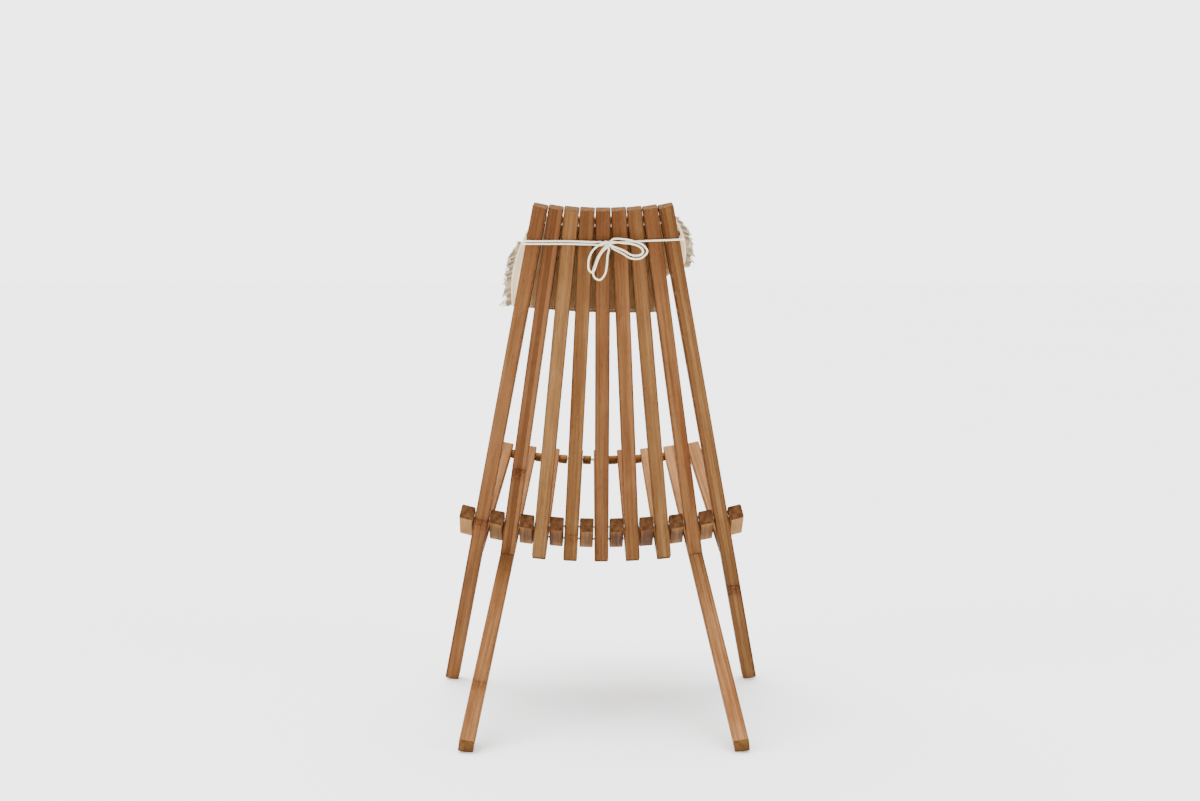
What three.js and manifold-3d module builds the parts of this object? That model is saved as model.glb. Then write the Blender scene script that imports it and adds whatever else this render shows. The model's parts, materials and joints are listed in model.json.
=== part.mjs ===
// A low folding recliner made of square bamboo sticks that are strung on wires, seen in use: the back
// slats and the seat slats alternate with short link blocks, and the whole row is fanned, close at the
// top and wide at the feet. A linen pillow hangs over the front of the back on a cord tied behind it.
// Millimetres. +Z is up, +Y points to the rear, and +X is one side.

import * as THREE from 'three';
import { mergeVertices } from 'three/addons/utils/BufferGeometryUtils.js';
import Module from 'manifold-3d';

const wasm = await Module();
wasm.setup();

// Sticks: the section that every slat and block shares
const column_count = 9;
const stick_side = 24.6;
const edge_round = 2.6;
const end_ease = 1;

// Side view: slopes from the horizontal, in degrees
const back_slope = 65;
const seat_slope = 27.5;
const link_slope = 20;
const top_cut = 9.5; // how far the top ends are cut from square

// Side view: lengths measured along the sticks from the wires
const back_wire_height = 302;
const link_spacing = 102;
const link_end = 17.5;
const back_length = 616;
const top_wire_inset = 30;
const seat_length = 276;
const front_wire_inset = 17;
const seat_tail = 54;
const foot_wear = 2.4; // what the floor has taken off the lowest corner of a foot

// Fan: the row turns about an axis high above the seat, and its outer columns sag on their wires
const fan_height = 1290;
const fan_tilt = 9.5;
const fan_step = 3.11;
const fan_sag = 5;
const hinge_step = 2; // the seat slats hinge on axes that fan less than their columns do

// Wires, their heads and the spacers on the front wire
const wire_diameter = 4.4;
const bore_diameter = 5.6;
const hinge_bore_diameter = 6;
const head_diameter = 10.4;
const head_height = 2.6;
const sink_diameter = 12.4;
const sink_depth = 3;
const spacer_diameter = 17;
const spacer_bore = 12;
const spacer_length = 16;
const spacer_ease = 1.2;
const wire_entry = 0.8; // how far a slat's length of front wire reaches into the next slat's spacer
const wire_break = 5; // the gap that follows, which the slats take up as they fold

// Pillow and its frayed ends
const pillow_width = 292;
const pillow_height = 184;
const pillow_crown = 46;
const pillow_belly = 9;
const pillow_seam = 3;
const pillow_up = 505; // up the back from the back wire to the middle of the pillow
const pillow_aside = 6;
// Where its edges lie, in half sizes from its middle: each side low, halfway and high, then top and bottom
// from the -X end to the +X end. The low corner of the -X side is tucked in.
const pillow_left_shares = [1.01, 0.97, 0.71];
const pillow_right_shares = [0.67, 1, 0.83];
const pillow_top_shares = [0.93, 0.955, 0.92];
const pillow_bottom_shares = [1.05, 0.99, 0.99];
const pillow_tuck_share = 0.3;
const fringe_width = 24;
const fringe_thickness = 2.4;
const fringe_wave = 4;
const fringe_waves = 4.5;

// Cord: its diameter, its knot and the routes chosen by hand
const cord_diameter = 3.2;
const knot_width = 17;
const knot_height = 12;
const knot_depth = 11;
const clearance = 0.3;
const overrun = 1;
const weld_distance = 1e-4;

const bore_sides = 10;
const wire_sides = 8;
const cord_sides = 8;
const cord_step = 2.8; // in diameters
const round_sides = 16;
const corner_steps = 2;

const rad = THREE.MathUtils.degToRad;
const half_side = stick_side / 2;
const half_row = (column_count - 1) / 2;
const tilt = rad(fan_tilt);

const wood = (color) => new THREE.MeshStandardMaterial({ color, roughness: 0.62, metalness: 0 });
const woods = [0xa5683c, 0x97582f, 0xb07a45, 0xad7440, 0x935530].map(wood);
const block_wood = wood(0x8c5630);
const steel = new THREE.MeshStandardMaterial({ color: 0x8d8b86, roughness: 0.4, metalness: 1 });
const linen = new THREE.MeshStandardMaterial({ color: 0xd8ccb0, roughness: 0.95, metalness: 0 });
const cotton = new THREE.MeshStandardMaterial({ color: 0xf1ece0, roughness: 0.9, metalness: 0 });

// Directions and points of the side view, as (0, y, z)
const slope = (degrees) => new THREE.Vector3(0, Math.cos(rad(degrees)), Math.sin(rad(degrees)));
const along = (point, direction, length) => point.clone().addScaledVector(direction, length);
const back_up = slope(back_slope);
const seat_down = slope(-seat_slope);
const link_down = slope(180 + link_slope);
const back_wire_at = new THREE.Vector3(0, 0, back_wire_height);
const seat_wire_at = along(back_wire_at, link_down, link_spacing);
const top_wire_at = along(back_wire_at, back_up, back_length - top_wire_inset);
const front_wire_at = along(seat_wire_at, seat_down, front_wire_inset - seat_length);

// The short back slats end just above the seat slats, which is where the opened chair stops
const between = rad(seat_slope + back_slope - 90);
const rise = link_spacing * Math.sin(rad(link_slope + seat_slope)) - half_side - clearance;
const back_tail = (rise - half_side * Math.sin(between)) / Math.cos(between);

const chair = new THREE.Group();

// A group that stands in column `place` of the fan, counted from the middle, and holds the side view
function column(place) {
  const axis = new THREE.Group();
  axis.position.z = fan_height;
  axis.rotation.x = tilt;
  const turned = new THREE.Group();
  turned.rotation.y = -rad(fan_step * place);
  const side_view = new THREE.Group();
  const sag = fan_sag * (place / half_row) ** 2;
  side_view.position.set(0, -fan_height * Math.sin(tilt), -fan_height * Math.cos(tilt) - sag);
  side_view.rotation.x = -tilt;
  chair.add(axis.add(turned.add(side_view)));
  axis.updateMatrixWorld(true);
  return side_view;
}

// Where a point of the side view lies in column `place`
function pointInRow(place, point) {
  const side_view = column(place);
  chair.remove(side_view.parent.parent);
  return point.clone().applyMatrix4(side_view.matrixWorld);
}

const places = Array.from({ length: column_count }, (_, index) => half_row - index);
const block_places = Array.from({ length: column_count + 1 }, (_, index) => half_row + 0.5 - index);

// Solids and back again. A tool that is turned in space is welded before it turns.
function welded(geometry) {
  const bare = geometry.clone();
  bare.deleteAttribute('normal');
  bare.deleteAttribute('uv');
  return mergeVertices(bare, weld_distance);
}

function solid(geometry) {
  const merged = geometry.attributes.normal ? welded(geometry) : geometry;
  return new wasm.Manifold(new wasm.Mesh({
    numProp: 3,
    vertProperties: new Float32Array(merged.attributes.position.array),
    triVerts: new Uint32Array(merged.index.array),
  }));
}

function geometryOf(body) {
  const mesh = body.getMesh();
  const geometry = new THREE.BufferGeometry();
  geometry.setAttribute('position', new THREE.BufferAttribute(new Float32Array(mesh.vertProperties), 3));
  geometry.setIndex(new THREE.BufferAttribute(new Uint32Array(mesh.triVerts), 1));
  geometry.computeVertexNormals();
  return geometry;
}

function cutFrom(geometry, tools) {
  let body = solid(geometry);
  for (const tool of tools) body = body.subtract(solid(tool));
  return geometryOf(body);
}

function joined(geometries) {
  return geometryOf(geometries.map(solid).reduce((body, piece) => body.add(piece)));
}

function add(parent, name, geometry, material) {
  const mesh = new THREE.Mesh(geometry, material);
  mesh.name = name;
  parent.add(mesh);
  return mesh;
}

// A square stick with rounded edges and eased ends, along +Z from zero
function stick(length, cut = 0) {
  const inner = half_side - end_ease;
  const corner = inner - edge_round + end_ease;
  const shape = new THREE.Shape();
  const quarter = Math.PI / 2;
  const corners = [[corner, -corner], [corner, corner], [-corner, corner], [-corner, -corner]];
  corners.forEach(([x, y], index) => {
    shape.absarc(x, y, edge_round - end_ease, quarter * (index - 1), quarter * index, false);
  });
  const geometry = new THREE.ExtrudeGeometry(shape, {
    depth: length - 2 * end_ease,
    curveSegments: corner_steps,
    bevelEnabled: true,
    bevelSize: end_ease,
    bevelThickness: end_ease,
    bevelSegments: 1,
  });
  geometry.translate(0, 0, end_ease);
  const position = geometry.attributes.position;
  for (let index = 0; index < position.count; index += 1) {
    const height = position.getZ(index);
    if (height > length / 2) position.setZ(index, height + position.getY(index) * Math.tan(rad(cut)));
  }
  return geometry;
}

// How far a wire leans from the normal of a column, because the outer columns sag
function leanOf(place, wire_at) {
  const below = wire_at.y * Math.sin(tilt) + (fan_height - wire_at.z) * Math.cos(tilt);
  const drop = 2 * fan_sag * place / half_row ** 2;
  return Math.atan2(drop, below * rad(fan_step));
}

// The direction of a wire, or of a hinge, through a stick that stands at `stick_angle`
function through(lean, stick_angle = 0) {
  const fan_axis = new THREE.Vector3(0, Math.cos(tilt - stick_angle), Math.sin(tilt - stick_angle));
  return new THREE.Vector3(1, 0, 0).applyAxisAngle(fan_axis, lean);
}

// A hole through a stick at `height` along `direction`
function bore(height, direction, diameter = bore_diameter) {
  const length = stick_side + 4 * overrun;
  const cylinder = welded(new THREE.CylinderGeometry(diameter / 2, diameter / 2, length, bore_sides));
  const turn = new THREE.Quaternion().setFromUnitVectors(new THREE.Vector3(0, 1, 0), direction);
  return cylinder.applyQuaternion(turn).translate(0, 0, height);
}

// A wider sink for a wire's head where the wire leaves one side of a stick

function sink(height, direction, side) {
  const depth = sink_depth + overrun;
  const middle = half_side - sink_depth + depth / 2;
  const cylinder = new THREE.CylinderGeometry(sink_diameter / 2, sink_diameter / 2, depth, round_sides);
  const shift = direction.clone().multiplyScalar(side * half_side / direction.x);
  return cylinder.rotateZ(Math.PI / 2).translate(side * middle, shift.y, height + shift.z);
}

// Stands a stick in a column: `low` is its lower end and `direction` runs up the stick
function angleOf(direction) {
  return Math.atan2(-direction.y, direction.z);
}

function standStick(parent, name, geometry, material, low, direction) {
  const mesh = add(parent, name, geometry, material);
  mesh.position.copy(low);
  mesh.rotation.x = angleOf(direction);
  return mesh;
}

// How far a leg runs from its wire to the floor, in column `place`
function legLength(place, wire_at, direction) {
  const side_view = column(place);
  chair.remove(side_view.parent.parent);
  const matrix = side_view.matrixWorld;
  const across = new THREE.Vector3(0, -direction.z, direction.y);
  const heights = [-half_side, half_side].flatMap((x) => [-half_side, half_side].map((offset) => {
    const start = along(wire_at, across, offset).setX(x);
    return start.applyMatrix4(matrix).z;
  }));
  const fall = direction.clone().transformDirection(matrix).z;
  return (Math.min(...heights) + foot_wear) / -fall;
}

// Cuts a leg flat where it stands on the floor
function wearFoot(mesh) {
  mesh.updateWorldMatrix(true, false);
  const reach = 4 * stick_side;
  const floor = welded(new THREE.BoxGeometry(reach, reach, reach));
  const place = new THREE.Vector3().setFromMatrixPosition(mesh.matrixWorld);
  floor.translate(place.x, place.y, -reach / 2);
  floor.applyMatrix4(mesh.matrixWorld.clone().invert());
  mesh.geometry = cutFrom(mesh.geometry, [floor]);
}

function isOuter(place, reach) {
  return Math.abs(place) === half_row - reach;
}

// The holes that one wire needs in one stick
function holesFor(place, wire_at, height, stick_angle, outermost) {
  const direction = through(leanOf(place, wire_at), stick_angle);
  const sinks = Math.abs(place) === outermost ? [sink(height, direction, Math.sign(place))] : [];
  return [bore(height, direction), ...sinks];
}

// Back slats: the outermost pair runs on to the floor as the front legs
places.forEach((place, index) => {
  const long = isOuter(place, 0);
  const tail = long ? legLength(place, back_wire_at, back_up.clone().negate()) : back_tail;
  const angle = angleOf(back_up);
  const holes = [
    ...holesFor(place, back_wire_at, tail, angle, half_row + 0.5),
    ...holesFor(place, top_wire_at, tail + back_length - top_wire_inset, angle, half_row),
  ];
  const geometry = cutFrom(stick(tail + back_length, top_cut), holes);
  const low = along(back_wire_at, back_up, -tail);
  const material = woods[(index * 3) % woods.length];
  const slat = standStick(column(place), `back_slat_${index + 1}`, geometry, material, low, back_up);
  if (long) wearFoot(slat);
});

// Seat slats: the second pair from outside runs on to the floor as the rear legs
places.forEach((place, index) => {
  const long = isOuter(place, 1);
  const tail = long ? legLength(place, seat_wire_at, seat_down) : seat_tail;
  const up = seat_down.clone().negate();
  const hinge = through(rad((fan_step - hinge_step) * place), angleOf(up));
  const holes = [
    bore(tail, hinge, hinge_bore_diameter),
    ...holesFor(place, front_wire_at, tail + seat_length - front_wire_inset, angleOf(up), half_row),
  ];
  const geometry = cutFrom(stick(tail + seat_length), holes);
  const low = along(seat_wire_at, seat_down, tail);
  const material = woods[(index * 2 + 1) % woods.length];
  const slat = standStick(column(place), `seat_slat_${index + 1}`, geometry, material, low, up);
  if (long) wearFoot(slat);
});

// Link blocks: they stand between the columns and carry both wires
block_places.forEach((place, index) => {
  const up = link_down.clone().negate();
  const holes = [
    ...holesFor(place, seat_wire_at, link_end, angleOf(up), half_row + 0.5),
    ...holesFor(place, back_wire_at, link_end + link_spacing, angleOf(up), half_row + 0.5),
  ];
  const geometry = cutFrom(stick(link_spacing + 2 * link_end), holes);
  const low = along(seat_wire_at, link_down, link_end);
  standStick(column(place), `link_block_${index + 1}`, geometry, block_wood, low, up);
});

// Round tube along points in space
function tube(points, diameter, sides, steps) {
  const section = new THREE.Shape().absarc(0, 0, diameter / 2, 0, 2 * Math.PI, false);
  const path = new THREE.CatmullRomCurve3(points);
  return new THREE.ExtrudeGeometry(section, { steps, curveSegments: sides, extrudePath: path });
}

// A domed head at `point` that looks along `outward`
function head(point, outward) {
  const radius = head_diameter / 2;
  const profile = [
    new THREE.Vector2(0, 0),
    new THREE.Vector2(radius, 0),
    new THREE.Vector2(radius, head_height / 2),
    new THREE.Vector2(radius * Math.cos(Math.PI / 4), head_height * Math.cos(Math.PI / 8)),
    new THREE.Vector2(0, head_height),
  ];
  const geometry = welded(new THREE.LatheGeometry(profile, round_sides));
  const turn = new THREE.Quaternion().setFromUnitVectors(new THREE.Vector3(0, 1, 0), outward);
  return geometry.applyQuaternion(turn).translate(point.x, point.y, point.z);
}

// Where a wire comes out over the floor of its sink, and the outward normal there
function outerSeat(place, wire_at) {
  const side = Math.sign(place);
  const direction = through(leanOf(place, wire_at));
  const reach = side * (half_side - sink_depth + clearance) / direction.x;
  const point = pointInRow(place, along(wire_at, direction, reach));
  const beyond = pointInRow(place, along(wire_at, direction, reach).add(new THREE.Vector3(side, 0, 0)));
  return { point, outward: beyond.sub(point).normalize() };
}

function headFor(place, wire_at) {
  const seat = outerSeat(place, wire_at);
  return head(seat.point, seat.outward);
}

// A wire through the whole row, from the sink of the first piece to the sink of the last
function rowWire(name, wire_at, outermost) {
  const row = [];
  for (let place = outermost; place >= -outermost; place -= 0.5) row.push(pointInRow(place, wire_at));
  const ends = [outermost, -outermost].map((place) => outerSeat(place, wire_at));
  row[0] = along(ends[0].point, ends[0].outward, head_height / 4);
  row[row.length - 1] = along(ends[1].point, ends[1].outward, head_height / 4);
  const wire = tube(row, wire_diameter, wire_sides, row.length - 1);
  add(chair, name, joined([wire, headFor(outermost, wire_at), headFor(-outermost, wire_at)]), steel);
}

rowWire('top_wire', top_wire_at, half_row);
rowWire('back_wire', back_wire_at, half_row + 0.5);
rowWire('seat_wire', seat_wire_at, half_row + 0.5);

// Spacers on the front wire: each sits on the inner face of the slat outside it
function spacerGeometry() {
  const outer = spacer_diameter / 2;
  const inner = spacer_bore / 2;
  const half = spacer_length / 2;
  const profile = [
    [inner, -half], [outer - spacer_ease, -half], [outer, spacer_ease - half],
    [outer, half - spacer_ease], [outer - spacer_ease, half], [inner, half], [inner, -half],
  ].map(([x, y]) => new THREE.Vector2(x, y));
  return new THREE.LatheGeometry(profile, round_sides);
}

const spacer_places = places.filter((place) => place !== 0);
spacer_places.forEach((place, index) => {
  const side = Math.sign(place);
  const spacer = add(column(place), `spacer_${index + 1}`, spacerGeometry(), woods[2]);
  spacer.position.copy(front_wire_at).setX(-side * (half_side + clearance + spacer_length / 2));
  spacer.rotation.z = side * Math.PI / 2;
});

// Front wire: one length for each slat, which ends out of sight inside the spacers
places.forEach((place, index) => {
  const ends = [1, -1].map((side) => {
    if (place * side === half_row) {
      const seat = outerSeat(place, front_wire_at);
      return along(seat.point, seat.outward, head_height / 4);
    }
    const here = pointInRow(place, front_wire_at);
    const next = pointInRow(place + side, front_wire_at);
    const far_end = half_side + clearance + spacer_length;
    const own = far_end - wire_entry - wire_break;
    const entering = here.distanceTo(next) - far_end + wire_entry;
    const reach = side * place < 0 ? own : entering;
    return along(here, next.sub(here).normalize(), reach);
  });
  const wire = tube([ends[0], pointInRow(place, front_wire_at), ends[1]], wire_diameter, wire_sides, 4);
  const heads = isOuter(place, 0) ? [headFor(place, front_wire_at)] : [];
  add(chair, `front_wire_${index + 1}`, joined([wire, ...heads]), steel);
});

// A closed skin from two faces that share a rim: front and back are functions of (u, v) in -1..1
function closedSkin(columns, rows, front, back) {
  const points = [];
  const faces = [];
  const stride = columns + 1;
  for (const face of [front, back]) {
    for (let row = 0; row <= rows; row += 1) {
      for (let step = 0; step <= columns; step += 1) {
        points.push(...face(2 * step / columns - 1, 2 * row / rows - 1).toArray());
      }
    }
  }
  const offset = stride * (rows + 1);
  const quad = (a, b, c, d) => faces.push(a, b, c, a, c, d);
  for (let row = 0; row < rows; row += 1) {
    for (let step = 0; step < columns; step += 1) {
      const a = row * stride + step;
      quad(a, a + 1, a + stride + 1, a + stride);
      quad(offset + a, offset + a + stride, offset + a + stride + 1, offset + a + 1);
    }
  }
  const rim = [];
  for (let step = 0; step < columns; step += 1) rim.push(step);
  for (let row = 0; row < rows; row += 1) rim.push(row * stride + columns);
  for (let step = columns; step > 0; step -= 1) rim.push(rows * stride + step);
  for (let row = rows; row > 0; row -= 1) rim.push(row * stride);
  rim.forEach((a, index) => {
    const b = rim[(index + 1) % rim.length];
    quad(a, offset + a, offset + b, b);
  });
  const geometry = new THREE.BufferGeometry();
  geometry.setAttribute('position', new THREE.Float32BufferAttribute(points, 3));
  geometry.setIndex(faces);
  geometry.computeVertexNormals();
  return geometry;
}

// Pillow: local X across, Z up the back, -Y away from the slats
const edge_shares = { power: 2.6, round: 0.55 };
const tuck_shares = { start: 0.1, full: 0.3 };
const swell = (u) => (1 - Math.abs(u) ** edge_shares.power) ** edge_shares.round;
const pillow = new THREE.Group();
const forward = slope(back_slope + 90);
const pillow_gap = half_side + pillow_belly + pillow_seam / 2 + clearance;
const pillow_at = along(back_wire_at, back_up, pillow_up);
pillow.position.copy(along(pillow_at, forward, pillow_gap));
pillow.position.x = pillow_aside;
pillow.rotation.x = rad(back_slope - 90);
chair.add(pillow);

// The fanned back is hollow towards the front, and the pillow lies in that hollow
const outer_slat = pointInRow(half_row, pillow_at).sub(pillow_at);
const hollow = outer_slat.dot(forward);
const edgeShare = ([low, middle, high], t) => (
  middle + (high - low) / 2 * t + ((low + high) / 2 - middle) * t * t
);
const tucked = (v) => THREE.MathUtils.smoothstep(-v, tuck_shares.start, tuck_shares.full) * (1 + v);
const pillowPoint = (u, v, depth) => {
  const left = edgeShare(pillow_left_shares, v);
  const right = edgeShare(pillow_right_shares, v) - pillow_tuck_share * tucked(v);
  const top = (1 + v) * edgeShare(pillow_top_shares, u);
  const bottom = (1 - v) * edgeShare(pillow_bottom_shares, u);
  const z = (top - bottom) * pillow_height / 4;
  const x = ((1 + u) * left - (1 - u) * right) * pillow_width / 4;
  return new THREE.Vector3(x, depth - hollow * (x / outer_slat.x) ** 2, z);
};
const pillow_front = (u, v) => pillowPoint(u, v, -pillow_seam / 2 - pillow_crown * swell(u) * swell(v));
const pillow_back = (u, v) => pillowPoint(u, v, pillow_seam / 2 + pillow_belly * swell(u) * swell(v));
add(pillow, 'head_pillow', closedSkin(22, 16, pillow_front, pillow_back), linen);

// Frayed ends: a strip of the case beyond each seam, low on one side and high on the other
const frays = [
  { side: 1, low_share: -0.97, high_share: 0.22 },
  { side: -1, low_share: -0.1, high_share: 0.93 },
];
frays.forEach(({ side, low_share, high_share }, index) => {
  const strip = (half_thickness) => (u, v) => {
    const height_share = low_share + (high_share - low_share) * (v + 1) / 2;
    const out = clearance + fringe_width * (u + 1) / 2;
    const point = pillowPoint(side, height_share, half_thickness);
    point.x += side * out;
    point.y += fringe_wave * Math.sin(Math.PI * fringe_waves * v) * (u + 1) / 2;
    return point;
  };
  const thick = side * fringe_thickness / 2;
  const geometry = closedSkin(3, 20, strip(-thick), strip(thick));
  add(pillow, `frayed_end_${index + 1}`, geometry, linen);
});

// Cord behind the back: two strands to one side of the knot, one to the other, and four loops.
// A strand starts on the pillow's rear face, given as shares of its half width and half height, and
// every piece meets the knot on the side that its last direction names.
const knot_at = new THREE.Vector3(-8, 257, 804);
const knot_half = new THREE.Vector3(knot_width / 2, knot_depth / 2, knot_height / 2);
const strands = {
  tie_strand_1: {
    start_shares: [0.965, 0.53],
    points: [[131.5, 240, 808], [124, 246.8, 808], [98, 248.4, 808], [55, 251.2, 808], [14, 254.5, 806.5]],
    arrive: [0.95, -0.25, 0.22],
  },
  tie_strand_2: {
    start_shares: [0.965, 0.47],
    points: [[131.5, 237.8, 803.5], [124, 244.6, 803.5], [98, 246.3, 803.5], [55, 249.2, 803.4], [14, 253, 802.2]],
    arrive: [0.95, -0.25, -0.22],
  },
  tie_strand_3: {
    start_shares: [-0.965, 0.56],
    points: [[-132, 241.5, 811], [-124.5, 248, 810.5], [-98, 249.6, 809.5], [-60, 251.8, 808], [-27, 254.5, 806.3]],
    arrive: [-0.95, -0.25, 0.1],
  },
};
const loops = {
  bow_loop_1: {
    leave: [-0.75, 0.2, 0.65],
    points: [[-31, 262, 811.5], [-48, 263, 808.5], [-66, 263, 801], [-72, 263, 791], [-62, 262, 780.5],
      [-46, 261, 780], [-30, 259.5, 789]],
    arrive: [-0.7, -0.1, -0.7],
  },
  bow_loop_2: {
    leave: [-0.8, 0.6, 0.25],
    points: [[-32, 263.5, 805], [-48, 264, 803.3], [-61, 264, 798], [-65.5, 264, 791.5], [-59, 263.5, 785.5],
      [-47, 263.5, 785.3], [-33, 262.5, 793]],
    arrive: [-0.7, 0.6, -0.4],
  },
  bow_loop_3: {
    leave: [-0.15, 0.1, -1],
    points: [[-7.5, 259, 785], [-6, 259.5, 768], [-3, 260, 754], [5, 260, 745], [13, 260, 748], [16.5, 260, 757],
      [13, 260, 770], [8.5, 260, 782]],
    arrive: [0.7, 0.1, -0.75],
  },
  bow_loop_4: {
    leave: [0.75, 0.7, 0.1],
    points: [[9, 264.5, 800], [18, 265.5, 791], [23, 265.5, 779], [24, 265.5, 766], [19.5, 265.5, 757],
      [14.5, 265.5, 764], [9, 265.5, 778], [2, 265, 790]],
    arrive: [0.2, 0.8, -0.6],
  },
};

const knot = new THREE.SphereGeometry(1, 12, 8).scale(knot_half.x, knot_half.y, knot_half.z);
add(chair, 'bow_knot', knot, cotton).position.copy(knot_at);

// The two points with which a cord meets the knot from outside, the nearer one first
function atKnot(direction) {
  const out = new THREE.Vector3(...direction).normalize();
  const surface = 1 / out.clone().divide(knot_half).length();
  return [2 * clearance, 1.3 * cord_diameter].map((gap) => along(knot_at, out, surface + gap));
}

function atPillow([across_share, up_share]) {
  pillow.updateMatrixWorld(true);
  const face = pillow_back(across_share, up_share);
  const rear = new THREE.Vector3(0, 1, 0);
  return [2 * clearance, 1.5 * cord_diameter].map((gap) => along(face, rear, gap).applyMatrix4(pillow.matrixWorld));
}

// The least gap between stretches of one cord that are not neighbours along it
function leastGap(curve) {
  const points = curve.getSpacedPoints(Math.ceil(curve.getLength() / cord_diameter));
  const apart = Math.ceil(Math.PI);
  let least = Infinity;
  points.forEach((from, index) => points.slice(index + apart).forEach((to) => {
    least = Math.min(least, from.distanceTo(to) - cord_diameter);
  }));
  return least;
}

function addCord(name, points) {
  const curve = new THREE.CatmullRomCurve3(points);
  const steps = Math.round(curve.getLength() / (cord_step * cord_diameter));
  add(chair, name, tube(points, cord_diameter, cord_sides, steps), cotton);
  return curve;
}

const placed = (points) => points.map((point) => new THREE.Vector3(...point));
for (const [name, { start_shares, points, arrive }] of Object.entries(strands)) {
  addCord(name, [...atPillow(start_shares), ...placed(points), ...atKnot(arrive).reverse()]);
}
for (const [name, { leave, points, arrive }] of Object.entries(loops)) {
  const curve = addCord(name, [...atKnot(leave), ...placed(points), ...atKnot(arrive).reverse()]);
  console.log(`${name}: least gap to itself ${leastGap(curve).toFixed(2)} mm`);
}

// The origin lies under the middle of the chair, cord left out
chair.updateMatrixWorld(true);
const box = new THREE.Box3();
chair.traverse((piece) => {
  if (piece.isMesh && !/^(tie|bow)_/.test(piece.name)) box.expandByObject(piece, true);
});
const centre = box.getCenter(new THREE.Vector3());
chair.position.set(-centre.x, -centre.y, -box.min.z);
chair.updateMatrixWorld(true);

export default chair;
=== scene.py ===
"""A folding recliner of square bamboo sticks with a tied linen head pillow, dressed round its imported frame.

Metres, in the frame's own axes: +Z up, +Y to the rear, +X to the side that is on the left seen from behind.
"""
import json
import math

import bpy
import numpy as np
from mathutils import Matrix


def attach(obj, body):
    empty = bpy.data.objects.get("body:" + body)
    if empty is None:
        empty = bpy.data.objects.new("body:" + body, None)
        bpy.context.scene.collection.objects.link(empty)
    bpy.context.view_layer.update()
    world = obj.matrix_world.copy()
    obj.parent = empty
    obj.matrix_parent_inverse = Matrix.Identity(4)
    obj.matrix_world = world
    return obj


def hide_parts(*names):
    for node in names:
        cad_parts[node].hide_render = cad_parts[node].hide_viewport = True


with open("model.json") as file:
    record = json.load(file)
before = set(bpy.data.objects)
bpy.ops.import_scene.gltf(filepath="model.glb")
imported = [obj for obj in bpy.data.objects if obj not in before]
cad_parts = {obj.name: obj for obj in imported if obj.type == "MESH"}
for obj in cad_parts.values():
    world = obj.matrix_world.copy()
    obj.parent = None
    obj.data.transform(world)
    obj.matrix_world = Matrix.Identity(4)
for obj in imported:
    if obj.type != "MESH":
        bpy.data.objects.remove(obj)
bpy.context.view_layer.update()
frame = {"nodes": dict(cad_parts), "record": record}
rng = np.random.default_rng(7)

MM = 0.001

# The camera stands straight behind, a little above, and looks slightly down
IMAGE_WIDTH = 1200
FOCAL_LENGTH = 2164.7
SENSOR_WIDTH = 36
CAMERA_AT = (0.035, 3.76, 0.829)
CAMERA_AIM = (0.0044, 0.15)
CAMERA_PITCH = 4.55


def make_camera():
    data = bpy.data.cameras.new("camera")
    data.sensor_width = SENSOR_WIDTH
    data.lens = FOCAL_LENGTH * SENSOR_WIDTH / IMAGE_WIDTH
    camera = bpy.data.objects.new("camera", data)
    camera.location = CAMERA_AT
    yaw = math.atan2(CAMERA_AT[0] - CAMERA_AIM[0], CAMERA_AT[1] - CAMERA_AIM[1])
    camera.rotation_euler = (math.radians(90 - CAMERA_PITCH), 0, math.pi - yaw)
    bpy.context.scene.collection.objects.link(camera)
    bpy.context.scene.camera = camera


make_camera()


# Materials

GAMMA = {"toe": 0.04045, "slope": 12.92, "lift": 0.055, "power": 2.4}


def linear(colour, depth=1.0):
    """Linear values of a colour that is given as it looks on a screen, 0 to 255, deepened by a share"""
    share = np.array(colour) / 255
    curved = ((share + GAMMA["lift"]) / (1 + GAMMA["lift"])) ** GAMMA["power"]
    return (*np.where(share > GAMMA["toe"], curved, share / GAMMA["slope"]) * depth, 1)


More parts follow.
